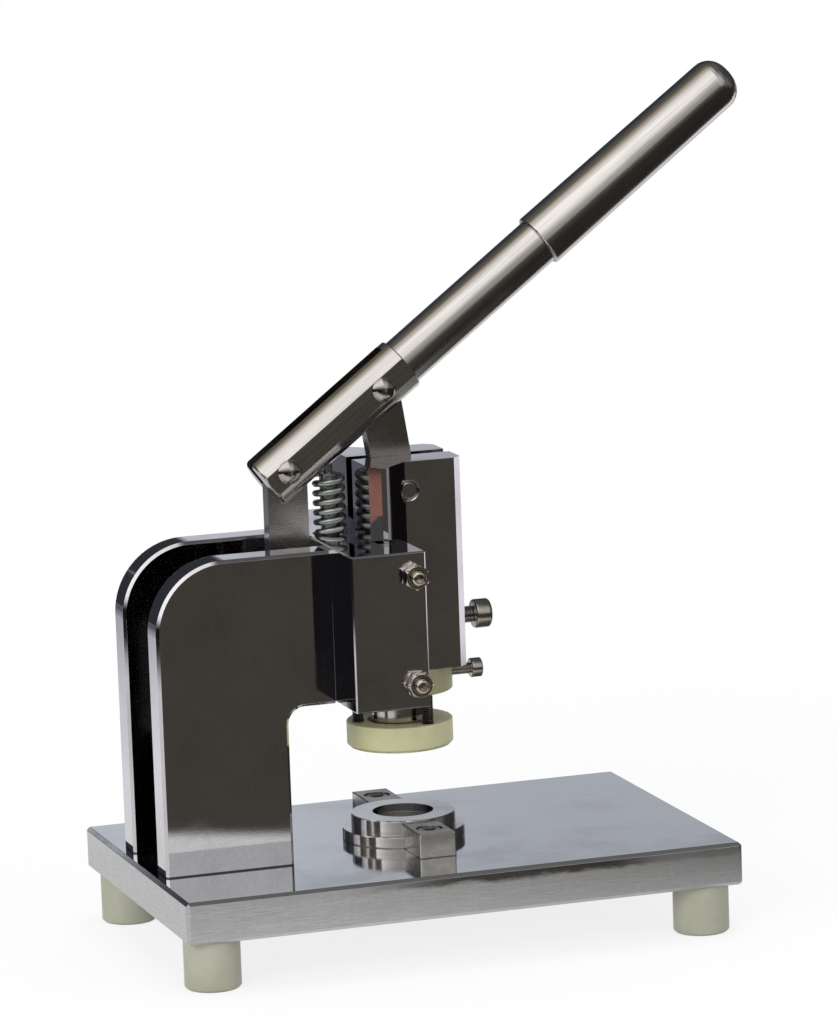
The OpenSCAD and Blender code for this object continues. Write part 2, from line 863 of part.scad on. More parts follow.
module link() {
    color("gray")
        difference() {
            translate([upper_x, 0, upper_z]) rotate([0, -link_lean, 0]) rotate([90, 0, 0])
                translate([0, 0, -bar_t / 2]) {
                    translate([-link_w / 2, -link_l]) cube([link_w, link_l, bar_t]);
                    cylinder(h = bar_t, d = link_w);
                    translate([0, -link_l]) cylinder(h = bar_t, d = link_w);
                }
            translate([upper_x, 0, upper_z]) rotate([90, 0, 0])
                cylinder(h = bar_t * 2, d = pin_d + pin_fit * 2, center = true);
            translate([eye_x, 0, eye_z]) rotate([90, 0, 0])
                cylinder(h = bar_t * 2, d = pin_d + eye_play * 2, center = true);
        }
}

// Ram

module ram_outline() {
    half = [
        [0, apex_y - heel_y], [heel_x, apex_y], [heel_x + land, apex_y], [neck_x, neck_y],
        [ram_d - ram_bevel, neck_y], [ram_d, neck_y - ram_bevel]];
    polygon(concat(half, [for (i = [len(half) - 1 : -1 : 0]) [half[i][0], -half[i][1]]]));
}

// Width of the bevel round the ram pin's hole
pin_ring = 0.7;

module ram() {
    color("silver")
        difference() {
            translate([ram_x, 0, ram_z]) linear_extrude(ram_top - ram_z) ram_outline();
            translate([ram_x - over, -slot_w / 2, ram_top - slot_h])
                cube([ram_d + over * 2, slot_w, slot_h + over]);
            translate([ram_pin_x, 0, ram_pin_z]) rotate([90, 0, 0]) {
                cylinder(h = ram_w * 2, d = pin_d + pin_fit, center = true);
                for (side = [0, 180])
                    rotate([side, 0, 0]) translate([0, 0, neck_y - pin_ring])
                        cylinder(h = pin_ring + over, r1 = pin_d / 2, r2 = pin_d / 2 + pin_ring + over);
            }
            translate([punch_x, 0, ram_z - over])
                cylinder(h = shank_l + head_sink + over, d = shank_d + pin_fit * 2);
            translate([punch_x, 0, ram_z + punch_screw_rise]) rotate([0, 90, 0])
                cylinder(h = ram_d, d = screw_l + thread_fit * 2);
        }
}

module link_lower_pin() {
    color("silver")
        translate([ram_pin_x, 0, ram_pin_z]) rotate([90, 0, 0]) translate([0, 0, -neck_y])
            bevel_rod(pin_d, ram_w, edge, edge);
}

// Punch, its clamp screw, the collar and the stripper ring

module punch() {
    cut = (cut_d - cut_play) / 2;
    body = ram_z - tip_z;
    color("silver")
        translate([punch_x, 0, tip_z]) difference() {
            rotate_extrude()
                polygon([
                    [0, 0], [cut, 0], [cut, cut_land], [punch_d / 2, cut_land], [punch_d / 2, body],
                    [shank_d / 2, body], [shank_d / 2, body + shank_l - edge],
                    [shank_d / 2 - edge, body + shank_l], [0, body + shank_l]]);
            translate([shank_d / 2 - shank_flat, -shank_d / 2, body + punch_screw_rise - screw_l])
                cube([shank_d, shank_d, screw_l * 2]);
        }
}

module punch_clamp_screw() {
    seat = punch_x + shank_d / 2 - shank_flat + slide_fit;
    under_head = ram_front + clamp_screw_proud;
    color("silver")
        translate([under_head, 0, ram_z + punch_screw_rise]) rotate([0, 90, 0])
            cap_screw(screw_l, under_head - seat);
}

module spring_collar() {
    color("ivory")
        difference() {
            translate([punch_x, 0, collar_z])
                bevel_ring(collar_d, punch_d + pin_fit * 2, collar_h, collar_bevel, collar_bevel);
            translate([ram_x - collar_d + soft_gap / 2, -collar_d / 2, collar_z + collar_lip])
                cube([collar_d, collar_d, collar_h]);
            translate([punch_x, 0, ram_z - collar_screw_drop]) rotate([0, 90, 0])
                cylinder(h = collar_d, d = screw_s + thread_fit * 2);
            at_small_springs(collar_z - over)
                cylinder(h = collar_pocket + over, d = small_spring_d + pocket_play * 2);
        }
}

module collar_screw() {
    seat = punch_x + punch_d / 2 + slide_fit;
    under_head = ram_front + collar_screw_proud;
    color("silver")
        translate([under_head, 0, ram_z - collar_screw_drop]) rotate([0, 90, 0])
            cap_screw(screw_s, under_head - seat);
}

module stripper_springs() {
    color("black")
        at_small_springs(ring_top - ring_pocket) coil(small_path, small_wire);
}

module stripper_ring() {
    color("ivory")
        difference() {
            translate([punch_x, 0, ring_z])
                bevel_ring(ring_d, cut_d + ring_bore_play * 2, ring_h, ring_bevel, collar_bevel);
            at_small_springs(ring_top - ring_pocket)
                cylinder(h = ring_pocket + over, d = small_spring_d + pocket_play * 2);
        }
}

base_plate();
feet();
foot_screws();
side_plate_near();
side_plate_far();
plate_screws();
guide_block();
guide_screws();
gib();
gib_set_screws();
gib_lock_nuts();
fulcrum_post();
post_screws();
spring_guide_rod();
return_spring();
die();
die_clamp_near();
die_clamp_far();
die_clamp_screws();
lever();
lever_grip();
fulcrum_pin();
link_upper_pin();
link();
ram();
link_lower_pin();
punch();
punch_clamp_screw();
spring_collar();
collar_screw();
stripper_springs();
stripper_ring();
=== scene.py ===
import bpy
import math
from mathutils import Matrix, Vector


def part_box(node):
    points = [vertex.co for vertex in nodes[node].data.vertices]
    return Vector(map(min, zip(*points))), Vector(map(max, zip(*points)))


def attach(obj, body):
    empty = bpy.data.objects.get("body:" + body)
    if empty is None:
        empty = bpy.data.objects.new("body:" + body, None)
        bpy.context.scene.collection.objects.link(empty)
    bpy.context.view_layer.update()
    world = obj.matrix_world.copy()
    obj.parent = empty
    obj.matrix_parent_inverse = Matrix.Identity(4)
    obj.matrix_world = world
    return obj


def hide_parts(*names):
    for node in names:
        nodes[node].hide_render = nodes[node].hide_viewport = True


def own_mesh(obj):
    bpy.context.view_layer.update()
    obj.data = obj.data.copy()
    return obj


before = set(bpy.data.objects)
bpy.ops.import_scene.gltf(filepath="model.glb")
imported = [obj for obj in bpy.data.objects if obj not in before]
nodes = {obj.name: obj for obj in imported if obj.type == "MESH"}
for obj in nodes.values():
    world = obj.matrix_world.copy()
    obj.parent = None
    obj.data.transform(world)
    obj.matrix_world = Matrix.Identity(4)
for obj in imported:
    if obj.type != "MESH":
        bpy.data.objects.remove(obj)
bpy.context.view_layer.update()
scene = bpy.context.scene
mm = 0.001


def box_mm(node):
    """Lowest and highest corners of a node at rest, in millimetres."""
    low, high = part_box(node)
    return Vector(low) / mm, Vector(high) / mm


# Places of the CAD model that the new pieces need, in millimetres
GUIDE_LOW, GUIDE_HIGH = box_mm("guide_block")
GUIDE_H = GUIDE_HIGH.z - GUIDE_LOW.z
PUNCH_X = (box_mm("punch")[0].x + box_mm("punch")[1].x) / 2
PLATE_Y = 21  # middle of a side plate's thickness
CLAMP_SCREW_Y = 29.5
PLATE_SCREW_X = (-86, -60.3)
FOOT_X, FOOT_Y = 88.5, 53

# Places that the materials need, in metres
WAYS_X = 0.0  # the ram's slanted slideways lie behind this
SEAM_SHADE_TOP = 0.0331  # upper edge of the painted shade line at the plates' feet
SLOT_HALF = 0.004  # the fork's slot is about this far to each side
BASE_FRONT_Y = -0.0645  # the base plate's front face lies just before this

LEVER_LEAN = math.radians(36.9)  # the lever's angle above level at rest


# ------------------------------------------------------------------ camera
CAMERA_TURN = (-17.952, 9.677, -2.059)  # azimuth, elevation and roll in degrees
CAMERA_PLACE = (-596.36, -1864.43, 480.86)  # mm
PHOTO_HEIGHT = 1024  # pixels
FOCAL_LENGTH = 5711.146  # pixels
SENSOR_WIDTH = 36  # mm


def place_camera():
    """Camera found from the base plate's edges and the uprights of the photo."""
    az, el, roll = map(math.radians, CAMERA_TURN)
    back = Vector((math.sin(az) * math.cos(el), -math.cos(az) * math.cos(el), math.sin(el)))
    flat = Vector((math.cos(az), math.sin(az), 0))
    rise = back.cross(flat)
    right = math.cos(roll) * flat + math.sin(roll) * rise
    up = math.cos(roll) * rise - math.sin(roll) * flat
    data = bpy.data.cameras.new("camera")
    camera = bpy.data.objects.new("camera", data)
    scene.collection.objects.link(camera)
    turn = Matrix((right, up, back)).transposed().to_4x4()
    camera.matrix_world = Matrix.Translation(Vector(CAMERA_PLACE) * mm) @ turn
    data.sensor_width = SENSOR_WIDTH
    data.lens = FOCAL_LENGTH * SENSOR_WIDTH / PHOTO_HEIGHT
    data.clip_start = 0.05
    data.clip_end = 60
    scene.camera = camera


place_camera()
scene.view_settings.view_transform = "Standard"


# ------------------------------------------------------------------ material helpers
class Mat:
    """A node material, or the world's nodes, with short helpers."""

    def __init__(self, name, block=None, output="ShaderNodeOutputMaterial"):
        self.m = block or bpy.data.materials.new(name)
        self.m.use_nodes = True
        self.t = self.m.node_tree
        self.t.nodes.clear()
        self.out = self.n(output)

    def n(self, kind, **props):
        node = self.t.nodes.new(kind)
        for k, v in props.items():
            setattr(node, k, v)
        return node

    def put(self, socket, value):
        if isinstance(value, bpy.types.NodeSocket):
            self.t.links.new(value, socket)
        else:
            socket.default_value = value

    def math(self, op, a, b=0.0):
        node = self.n("ShaderNodeMath", operation=op)
        self.put(node.inputs[0], a)
        self.put(node.inputs[1], b)
        return node.outputs[0]

    def step(self, value, low, high, to_low=0.0, to_high=1.0):
        """Smooth change from to_low to to_high while the value goes from low to high."""
        node = self.n("ShaderNodeMapRange", interpolation_type="SMOOTHSTEP")
        self.put(node.inputs["Value"], value)
        for k, v in (("From Min", low), ("From Max", high), ("To Min", to_low), ("To Max", to_high)):
            self.put(node.inputs[k], v)
        return node.outputs[0]

    def mix(self, fac, a, b):
        node = self.n("ShaderNodeMix", data_type="RGBA")
        self.put(node.inputs[0], fac)
        self.put(node.inputs[6], a)
        self.put(node.inputs[7], b)
        return node.outputs[2]

    def xyz(self, vector):
        node = self.n("ShaderNodeSeparateXYZ")
        self.put(node.inputs[0], vector)
        return node.outputs

    def coords(self, scale=(1, 1, 1)):
        tc = self.n("ShaderNodeTexCoord")
        mp = self.n("ShaderNodeMapping")
        self.put(mp.inputs["Vector"], tc.outputs["Object"])
        mp.inputs["Scale"].default_value = scale
        return mp.outputs[0]

    def drawn(self, turn, stretch):
        """Object coordinates turned to a direction and then stretched along it."""
        mp = self.n("ShaderNodeMapping", vector_type="TEXTURE")
        self.put(mp.inputs["Vector"], self.n("ShaderNodeTexCoord").outputs["Object"])
        mp.inputs["Rotation"].default_value = turn
        mp.inputs["Scale"].default_value = stretch
        return mp.outputs[0]

    def noise(self, coords, scale, detail=3.0, rough=0.55):
        node = self.n("ShaderNodeTexNoise")
        self.put(node.inputs["Vector"], coords)
        node.inputs["Scale"].default_value = scale
        node.inputs["Detail"].default_value = detail
        node.inputs["Roughness"].default_value = rough
        return node.outputs["Fac"]

    def bump(self, height, distance, strength=1.0, normal=None):
        node = self.n("ShaderNodeBump")
        node.inputs["Strength"].default_value = strength
        node.inputs["Distance"].default_value = distance
        self.put(node.inputs["Height"], height)
        if normal is not None:
            self.put(node.inputs["Normal"], normal)
        return node.outputs[0]

    def rounded(self, radius):
        """Normal that rounds the solid's sharp edges."""
        node = self.n("ShaderNodeBevel", samples=6)
        node.inputs["Radius"].default_value = radius
        return node.outputs[0]

    def to_world(self, vector):
        node = self.n("ShaderNodeVectorTransform", vector_type="VECTOR", convert_from="OBJECT", convert_to="WORLD")
        self.put(node.inputs[0], vector)
        return node.outputs[0]

    def shader(self, color, rough, metal=1.0, normal=None, **more):
        s = self.n("ShaderNodeBsdfPrincipled")
        self.put(s.inputs["Base Color"], color)
        self.put(s.inputs["Roughness"], rough)
        self.put(s.inputs["Metallic"], metal)
        if normal is not None:
            self.put(s.inputs["Normal"], normal)
        for k, v in more.items():
            self.put(s.inputs[k.replace("_", " ")], v)
        self.finish(s.outputs[0])

    def finish(self, shader):
        self.t.links.new(shader, self.out.inputs[0])

    def either(self, share, a, b):
        """Two shaders mixed by a share."""
        node = self.n("ShaderNodeMixShader")
        for i, value in enumerate((share, a, b)):
            self.put(node.inputs[i], value)
        return node.outputs[0]

    def glow(self, color, kind="ShaderNodeEmission", strength=1.0):
        """Light of one tone: an emission, or the world's background."""
        node = self.n(kind)
        self.put(node.inputs["Color"], color)
        node.inputs["Strength"].default_value = strength
        return node.outputs[0]


def rgb(r, g, b):
    """sRGB 0-255 as a linear colour."""
    def channel(c):
        return c / 12.92 if c <= 0.04045 else ((c + 0.055) / 1.055) ** 2.4
    return (channel(r / 255), channel(g / 255), channel(b / 255), 1)


def shade(color, share):
    """A colour made darker or lighter by a share."""
    return tuple(v * share for v in color[:3]) + (1,)


# ------------------------------------------------------------------ materials
def chrome(name, shaded_ways=False):
    """Polished plating: faint waviness, hair-fine scratches and dull smudges, with a painted shade line at the
    plates' feet; painted shade on the slideways if wished.
    """
    tint, rough, edge = (0.66, 0.645, 0.67, 1), 0.035, 0.00012
    m = Mat(name)
    c = m.coords()
    wave = m.noise(c, 22, 2)
    streak = m.noise(m.coords(scale=(1, 1, 26)), 420, 3)
    smudge = m.noise(c, 38, 4, 0.6)
    grain = m.noise(c, 900, 3)
    fine = m.noise(c, 1900, 2)
    rough = m.math("ADD", m.step(smudge, 0.42, 0.74, rough, rough + 0.06),
                   m.step(streak, 0.55, 0.8, 0, 0.03))
    normal = m.bump(wave, 0.00035, 0.08, m.rounded(edge))
    normal = m.bump(fine, 0.00002, 0.10, normal)
    col = m.mix(m.step(smudge, 0.35, 0.75), tint, shade(tint, 0.84))
    col = m.mix(m.step(grain, 0.45, 0.75, 0, 0.5), col, shade(tint, 1.12))
    # Painted shade: a dark line where the plates stand on the base, in the crease at their feet
    col = m.mix(m.step(m.xyz(c)[2], SEAM_SHADE_TOP - 0.0002, SEAM_SHADE_TOP, 0.95, 0), col, shade(tint, 0.08))
    if shaded_ways:
        # Painted shade on the slanted faces that slide in the guide: they look right and forward, or right and
        # back
        facing = m.xyz(m.n("ShaderNodeNewGeometry").outputs["True Normal"])
        slant = m.math("MULTIPLY", m.step(facing[0], 0.6, 0.65),
                       m.step(m.math("ABSOLUTE", facing[1]), 0.6, 0.65))
        ways = m.math("MULTIPLY", slant, m.step(m.xyz(c)[0], WAYS_X - 0.001, WAYS_X, 1, 0))
        col = m.mix(ways, col, shade(tint, 0.2))
    m.shader(col, rough, 1.0, normal)
    return m.m


def turned(name, tint, rough, axis):
    """Steel with fine lines running round its axis, as a lathe and emery leave them."""
    m = Mat(name)
    scale = {"X": (900, 14, 14), "Y": (14, 900, 14), "Z": (14, 14, 900)}[axis]
    lines = m.noise(m.coords(scale=scale), 1.6, 5, 0.7)
    blotch = m.noise(m.coords(), 60, 3)
    fine = m.noise(m.coords(), 900, 3)
    rough = m.math("ADD", m.step(lines, 0.3, 0.7, rough - 0.05, rough + 0.05),
                   m.step(blotch, 0.4, 0.7, -0.02, 0.035))
    normal = m.bump(lines, 0.00003, 0.35, m.rounded(0.0002))
    normal = m.bump(fine, 0.00002, 0.12, normal)
    col = m.mix(m.step(lines, 0.3, 0.75), tint, shade(tint, 0.86))
    m.shader(col, rough, 1.0, normal)
    return m.m


def lever_steel(name, tint, rough):
    """Bar polished along its length: the highlight is drawn out along the bar."""
    m = Mat(name)
    along = (math.cos(LEVER_LEAN), 0, math.sin(LEVER_LEAN))
    lines = m.noise(m.drawn((0, -LEVER_LEAN, 0), (60, 1, 1)), 1000, 3, 0.6)
    blotch = m.noise(m.coords(), 50, 4, 0.6)
    fine = m.noise(m.coords(), 1100, 3)
    rough = m.math("ADD", m.step(blotch, 0.35, 0.75, rough - 0.02, rough + 0.04),
                   m.step(fine, 0.6, 0.8, 0, 0.03))
    normal = m.bump(lines, 0.00001, 0.2, m.rounded(0.0002))
    normal = m.bump(fine, 0.00001, 0.08, normal)
    col = m.mix(m.step(lines, 0.35, 0.65), shade(tint, 1.05), shade(tint, 0.86))
    col = m.mix(m.step(blotch, 0.5, 0.8, 0, 0.5), col, shade(tint, 0.88))
    # The walls of the fork's slot are milled and dull; their dark colour is painted shade inside the slot
    across = m.math("ABSOLUTE", m.xyz(m.n("ShaderNodeNewGeometry").outputs["True Normal"])[1])
    depth = m.math("ABSOLUTE", m.xyz(m.n("ShaderNodeTexCoord").outputs["Object"])[1])
    milled_and_shaded = m.math("MULTIPLY", m.step(across, 0.9, 0.95),
                    m.step(depth, SLOT_HALF, SLOT_HALF + 0.001, 1, 0))
    col = m.mix(milled_and_shaded, col, shade(tint, 0.16))
    rough = m.math("ADD", rough, m.math("MULTIPLY", milled_and_shaded, 0.4))
    m.shader(col, rough, 1.0, normal, Anisotropic=0.75, Tangent=m.to_world(along))
    return m.m


def pin_steel(name, tint):
    """Turned pin heads: rings round the pin, so the highlight fans out from the middle."""
    m = Mat(name)
    tc = m.n("ShaderNodeTexCoord")
    off = m.n("ShaderNodeVectorMath", operation="SUBTRACT")
    m.put(off.inputs[0], tc.outputs["Generated"])
    off.inputs[1].default_value = (0.5, 0.5, 0.5)
    radial = m.n("ShaderNodeVectorMath", operation="MULTIPLY")
    m.put(radial.inputs[0], off.outputs[0])
    radial.inputs[1].default_value = (1, 0, 1)
    size = m.n("ShaderNodeVectorMath", operation="LENGTH")
    m.put(size.inputs[0], radial.outputs[0])
    rings = m.math("SINE", m.math("MULTIPLY", size.outputs["Value"], 260))
    grain = m.noise(m.coords(), 700, 4)
    normal = m.bump(rings, 0.000004, 0.3, m.rounded(0.00025))
    normal = m.bump(grain, 0.00001, 0.15, normal)
    col = m.mix(m.step(grain, 0.35, 0.75), tint, shade(tint, 0.82))
    m.shader(col, m.step(grain, 0.3, 0.8, 0.11, 0.16), 1.0, normal, Anisotropic=0.7,
             Tangent=m.to_world(radial.outputs[0]))
    return m.m


def ground(name, tint, rough, scale):
    """Ground steel: straight fine lines along one direction."""
    m = Mat(name)
    lines = m.noise(m.coords(scale=scale), 240, 5, 0.7)
    blotch = m.noise(m.coords(), 45, 3)
    rough = m.math("ADD", m.step(lines, 0.3, 0.7, rough - 0.05, rough + 0.06),
                   m.step(blotch, 0.4, 0.75, -0.02, 0.05))
    normal = m.bump(lines, 0.00003, 0.5, m.rounded(0.0002))
    col = m.mix(m.step(lines, 0.3, 0.75), tint, shade(tint, 0.85))
    m.shader(col, rough, 1.0, normal)
    return m.m


def base_steel(name):
    """The base plate: bright ground top, brushed sides and underside."""
    m = Mat(name)
    geo = m.n("ShaderNodeNewGeometry")
    top = m.step(m.xyz(geo.outputs["True Normal"])[2], 0.4, 0.6)
    c = m.coords()
    lines = m.noise(m.coords(scale=(1, 1, 22)), 160, 6, 0.75)
    cross = m.noise(m.coords(scale=(7, 7, 1)), 90, 4, 0.7)
    smudge = m.noise(c, 30, 4, 0.6)
    wave = m.noise(c, 14, 2)
    fine = m.noise(c, 1500, 2)
    hair = m.noise(m.coords(scale=(1, 40, 1)), 120, 4, 0.7)
    rough = m.n("ShaderNodeMix", data_type="FLOAT")
    m.put(rough.inputs[0], top)
    m.put(rough.inputs[2], m.step(lines, 0.25, 0.75, 0.24, 0.36))
    m.put(rough.inputs[3], m.math("ADD", m.step(smudge, 0.42, 0.75, 0.08, 0.14),
                                  m.step(hair, 0.5, 0.75, 0, 0.04)))
    side = m.mix(m.step(lines, 0.3, 0.75), (0.64, 0.632, 0.64, 1), (0.50, 0.495, 0.502, 1))
    side = m.mix(m.step(cross, 0.45, 0.8, 0, 0.35), side, (0.72, 0.715, 0.72, 1))
    # A ragged dark brown band under the top edge of the front, past its middle
    x, y, z = m.xyz(c)
    uneven = m.noise(m.coords(scale=(1, 1, 3)), 70, 4, 0.7)
    ragged = m.math("ADD", z, m.math("MULTIPLY", uneven, 0.005))
    ragged_band = m.math("MULTIPLY", m.step(ragged, 0.0304, 0.0324), m.step(x, -0.05, 0.0))
    ragged_band = m.math("MULTIPLY", ragged_band, m.step(x, 0.05, 0.075, 1, 0.35))
    ragged_band = m.math("MULTIPLY", ragged_band, m.step(y, BASE_FRONT_Y + 0.0005, BASE_FRONT_Y, 0, 0.9))
    side = m.mix(ragged_band, side, (0.07, 0.052, 0.044, 1))
    face = m.mix(m.step(hair, 0.35, 0.75), (0.70, 0.70, 0.715, 1), (0.64, 0.64, 0.66, 1))
    col = m.mix(top, side, face)
    edge = m.rounded(0.0003)
    brushed = m.bump(lines, 0.00006, 0.3, edge)
    flat = m.bump(fine, 0.00002, 0.10, m.bump(wave, 0.0004, 0.06, edge))
    normal = m.n("ShaderNodeMix", data_type="VECTOR")
    m.put(normal.inputs[0], top)
    m.put(normal.inputs[4], brushed)
    m.put(normal.inputs[5], flat)
    m.shader(col, rough.outputs[0], 1.0, normal.outputs[1])
    return m.m


def nylon(name, light, dark):
    """Cast nylon: cloudy cream with faint turning marks."""
    m = Mat(name)
    c = m.coords()
    cloud = m.noise(c, 55, 4, 0.6)
    marks = m.noise(m.coords(scale=(1, 1, 40)), 130, 3)
    speck = m.noise(c, 700, 2)
    col = m.mix(m.step(cloud, 0.3, 0.7), light, dark)
    col = m.mix(m.step(speck, 0.66, 0.8, 0, 0.2), col, shade(dark, 0.6))
    normal = m.bump(marks, 0.00006, 0.35, m.rounded(0.0003))
    normal = m.bump(speck, 0.00004, 0.25, normal)
    m.shader(col, m.step(marks, 0.3, 0.7, 0.36, 0.5), 0.0, normal, Subsurface_Weight=0.35,
             Subsurface_Radius=(0.9, 0.9, 0.6), Subsurface_Scale=0.003, IOR=1.5)
    return m.m


def wire(name, light, dark, rough, metal):
    """Drawn spring wire with a slightly cloudy surface."""
    m = Mat(name)
    grain = m.noise(m.coords(), 700, 4)
    cloud = m.noise(m.coords(), 120, 3)
    col = m.mix(m.step(cloud, 0.35, 0.7), light, dark)
    m.shader(col, m.step(grain, 0.3, 0.7, rough, rough + 0.12), metal, m.bump(grain, 0.00002, 0.25))
    return m.m


base_m = base_steel("base_plate_steel")
chrome_m = chrome("polished_plating")
ram_m = chrome("ram_plating", shaded_ways=True)
lever_m = lever_steel("lever_steel", (0.62, 0.59, 0.565, 1), 0.2)
grip_m = lever_steel("grip_steel", (0.63, 0.60, 0.575, 1), 0.19)
bar_m = ground("ground_bar_steel", (0.60, 0.58, 0.56, 1), 0.24, (1, 1, 18))
pin_m = pin_steel("pin_steel", (0.50, 0.465, 0.42, 1))
ram_pin_m = turned("ram_pin_steel", (0.58, 0.55, 0.52, 1), 0.2, "Y")
link_m = ground("link_steel", (0.36, 0.343, 0.322, 1), 0.24, (1, 1, 18))
screw_m = turned("screw_steel", (0.48, 0.44, 0.395, 1), 0.2, "X")
set_m = turned("set_screw_steel", (0.66, 0.60, 0.52, 1), 0.11, "Y")
under_m = turned("under_screw_steel", (0.50, 0.50, 0.50, 1), 0.3, "Z")
die_m = turned("die_steel", (0.70, 0.68, 0.665, 1), 0.1, "Z")
punch_m = turned("punch_steel", (0.62, 0.595, 0.565, 1), 0.12, "Z")
clamp_m = ground("clamp_steel", (0.56, 0.54, 0.51, 1), 0.26, (1, 12, 1))
gib_m = ground("gib_steel", (0.52, 0.5, 0.48, 1), 0.25, (1, 1, 16))
ring_m = nylon("ring_nylon", rgb(203, 201, 163), rgb(190, 188, 145))
collar_m = nylon("collar_nylon", rgb(162, 160, 127), rgb(150, 147, 113))
foot_m = nylon("foot_nylon", rgb(166, 166, 151), rgb(155, 154, 136))
black_m = wire("black_spring_wire", (0.018, 0.018, 0.02, 1), (0.035, 0.034, 0.036, 1), 0.3, 0.5)
spring_m = wire("spring_wire", (0.50, 0.53, 0.49, 1), (0.40, 0.43, 0.41, 1), 0.27, 1.0)

finish_of = {
    "base_plate": base_m, "feet": foot_m, "foot_screws": under_m, "plate_screws": under_m,
    "side_plate_near": chrome_m, "side_plate_far": chrome_m, "guide_block": chrome_m, "ram": ram_m,
    "guide_screws": screw_m, "post_screws": screw_m, "gib": gib_m, "gib_set_screws": set_m,
    "gib_lock_nuts": set_m, "fulcrum_post": bar_m, "spring_guide_rod": under_m,
    "return_spring": spring_m, "die": die_m, "die_clamp_near": clamp_m, "die_clamp_far": clamp_m,
    "die_clamp_screws": under_m, "lever": lever_m, "lever_grip": grip_m, "fulcrum_pin": pin_m,
    "link_upper_pin": pin_m, "link": link_m, "link_lower_pin": ram_pin_m, "punch": punch_m,
    "punch_clamp_screw": screw_m, "spring_collar": collar_m, "collar_screw": screw_m,
    "stripper_springs": black_m, "stripper_ring": ring_m,
}
for name, obj in nodes.items():
    obj.data.materials.clear()
    obj.data.materials.append(finish_of[name])


# ------------------------------------------------------------------ new pieces
def piece(name, verts, faces, mat, body, node, slot):
    """A mesh in metres that rides on a body and stands for a node's solids."""
    mesh = bpy.data.meshes.new(name)
    mesh.from_pydata([tuple(v) for v in verts], [], faces)
    mesh.update()
    obj = bpy.data.objects.new(name, mesh)
    scene.collection.objects.link(obj)
    mesh.materials.append(mat)
    mesh.polygons.foreach_set("use_smooth", [True] * len(mesh.polygons))
    mesh.set_sharp_from_angle(angle=math.radians(35))
    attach(obj, body)
    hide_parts(node)
    return obj


def join(shapes):
    """Several (verts, faces) as one."""
    verts, faces = [], []
    for shape_verts, shape_faces in shapes:
        start = len(verts)
        verts += shape_verts
        faces += [tuple(i + start for i in face) for face in shape_faces]
    return verts, faces


def placed(shape, matrix):
    """A shape drawn in millimetres, moved by matrix and given in metres."""
    verts, faces = shape
    return [matrix @ v * mm for v in verts], faces


def wound(r, thick, h, curls, per=32, sides=14):
    """Round wire wound up the z axis, in mm: straight for one wire diameter at both ends."""
    count = curls * per
    path = [Vector((r, 0, 0))]
    for i in range(count + 1):
        a = 2 * math.pi * i / per
        path.append(Vector((r * math.cos(a), r * math.sin(a), thick + (h - 2 * thick) * i / count)))
    path.append(Vector((r, 0, h)))
    verts = []
    for i, p in enumerate(path):
        is_end = i in (0, len(path) - 1)
        way = Vector((0, 0, 1)) if is_end else (path[i + 1] - path[i - 1]).normalized()
        out = Vector((p.x, p.y, 0)).normalized()
        side = (out - way * out.dot(way)).normalized()
        rise = way.cross(side)
        for k in range(sides):
            t = 2 * math.pi * k / sides
            verts.append(p + (side * math.cos(t) + rise * math.sin(t)) * thick / 2)
    faces = []
    for i in range(len(path) - 1):
        for k in range(sides):
            a, b = i * sides + k, i * sides + (k + 1) % sides
            faces.append((a, b, b + sides, a + sides))
    faces.append(tuple(reversed(range(sides))))
    faces.append(tuple((len(path) - 1) * sides + k for k in range(sides)))
    return verts, faces


def stacked(levels, segments=72):
    """Closed shape from rings up the z axis: each level is a height and a radius at an angle."""
    verts, faces = [], []
    for z, radius in levels:
        for k in range(segments):
            a = 2 * math.pi * k / segments
            r = radius(a)
            verts.append(Vector((r * math.cos(a), r * math.sin(a), z)))
    for i in range(len(levels) - 1):
        for k in range(segments):
            a, b = i * segments + k, i * segments + (k + 1) % segments
            faces.append((a, b, b + segments, a + segments))
    faces.append(tuple(reversed(range(segments))))
    faces.append(tuple((len(levels) - 1) * segments + k for k in range(segments)))
    return verts, faces


def tube(levels, segments=72):
    """Shape from rings that closes on itself, as a nut with its bore does."""
    verts, faces = stacked(levels, segments)
    faces = faces[:-2]
    last = (len(levels) - 1) * segments
    for k in range(segments):
        a, b = last + k, last + (k + 1) % segments
        faces.append((a, b, (k + 1) % segments, k))
    return verts, faces


def circle(r):
    return lambda a: r


def hexagon(flats, limit=math.inf):
    """Radius of a hexagon with a corner at angle 0, kept inside a circle of radius limit."""
    sixth = math.pi / 3
    return lambda a: min(flats / 2 / math.cos(a % sixth - sixth / 2), limit)


def thread(r, low, high, pitch, depth):
    """Levels of a cut thread between two heights, as even ridges."""
    count = max(1, round((high - low) / pitch))
    step = (high - low) / count
    levels = []
    for i in range(count):
        levels += [(low + step * (i + 0.1), circle(r - depth)), (low + step * (i + 0.5), circle(r))]
    return levels


def rim(r, z, radius, quarter, steps=5):
    """Levels of a rounded rim on a cylinder of radius r: quarter 0 is an upper rim, 1 a lower rim."""
    levels = []
    for i in range(steps + 1):
        t = math.pi / 2 * i / steps
        if quarter == 0:
            levels.append((z - radius + radius * math.sin(t), circle(r - radius + radius * math.cos(t))))
        else:
            levels.append((z + radius - radius * math.cos(t), circle(r - radius + radius * math.sin(t))))
    return levels


def socket(flats, top, depth):
    """Levels of a hexagon socket that goes down from a flat top."""
    corner = flats / math.cos(math.pi / 6) / 2
    return [(top, circle(corner + 0.25)), (top - 0.25, hexagon(flats)), (top - depth, hexagon(flats))]


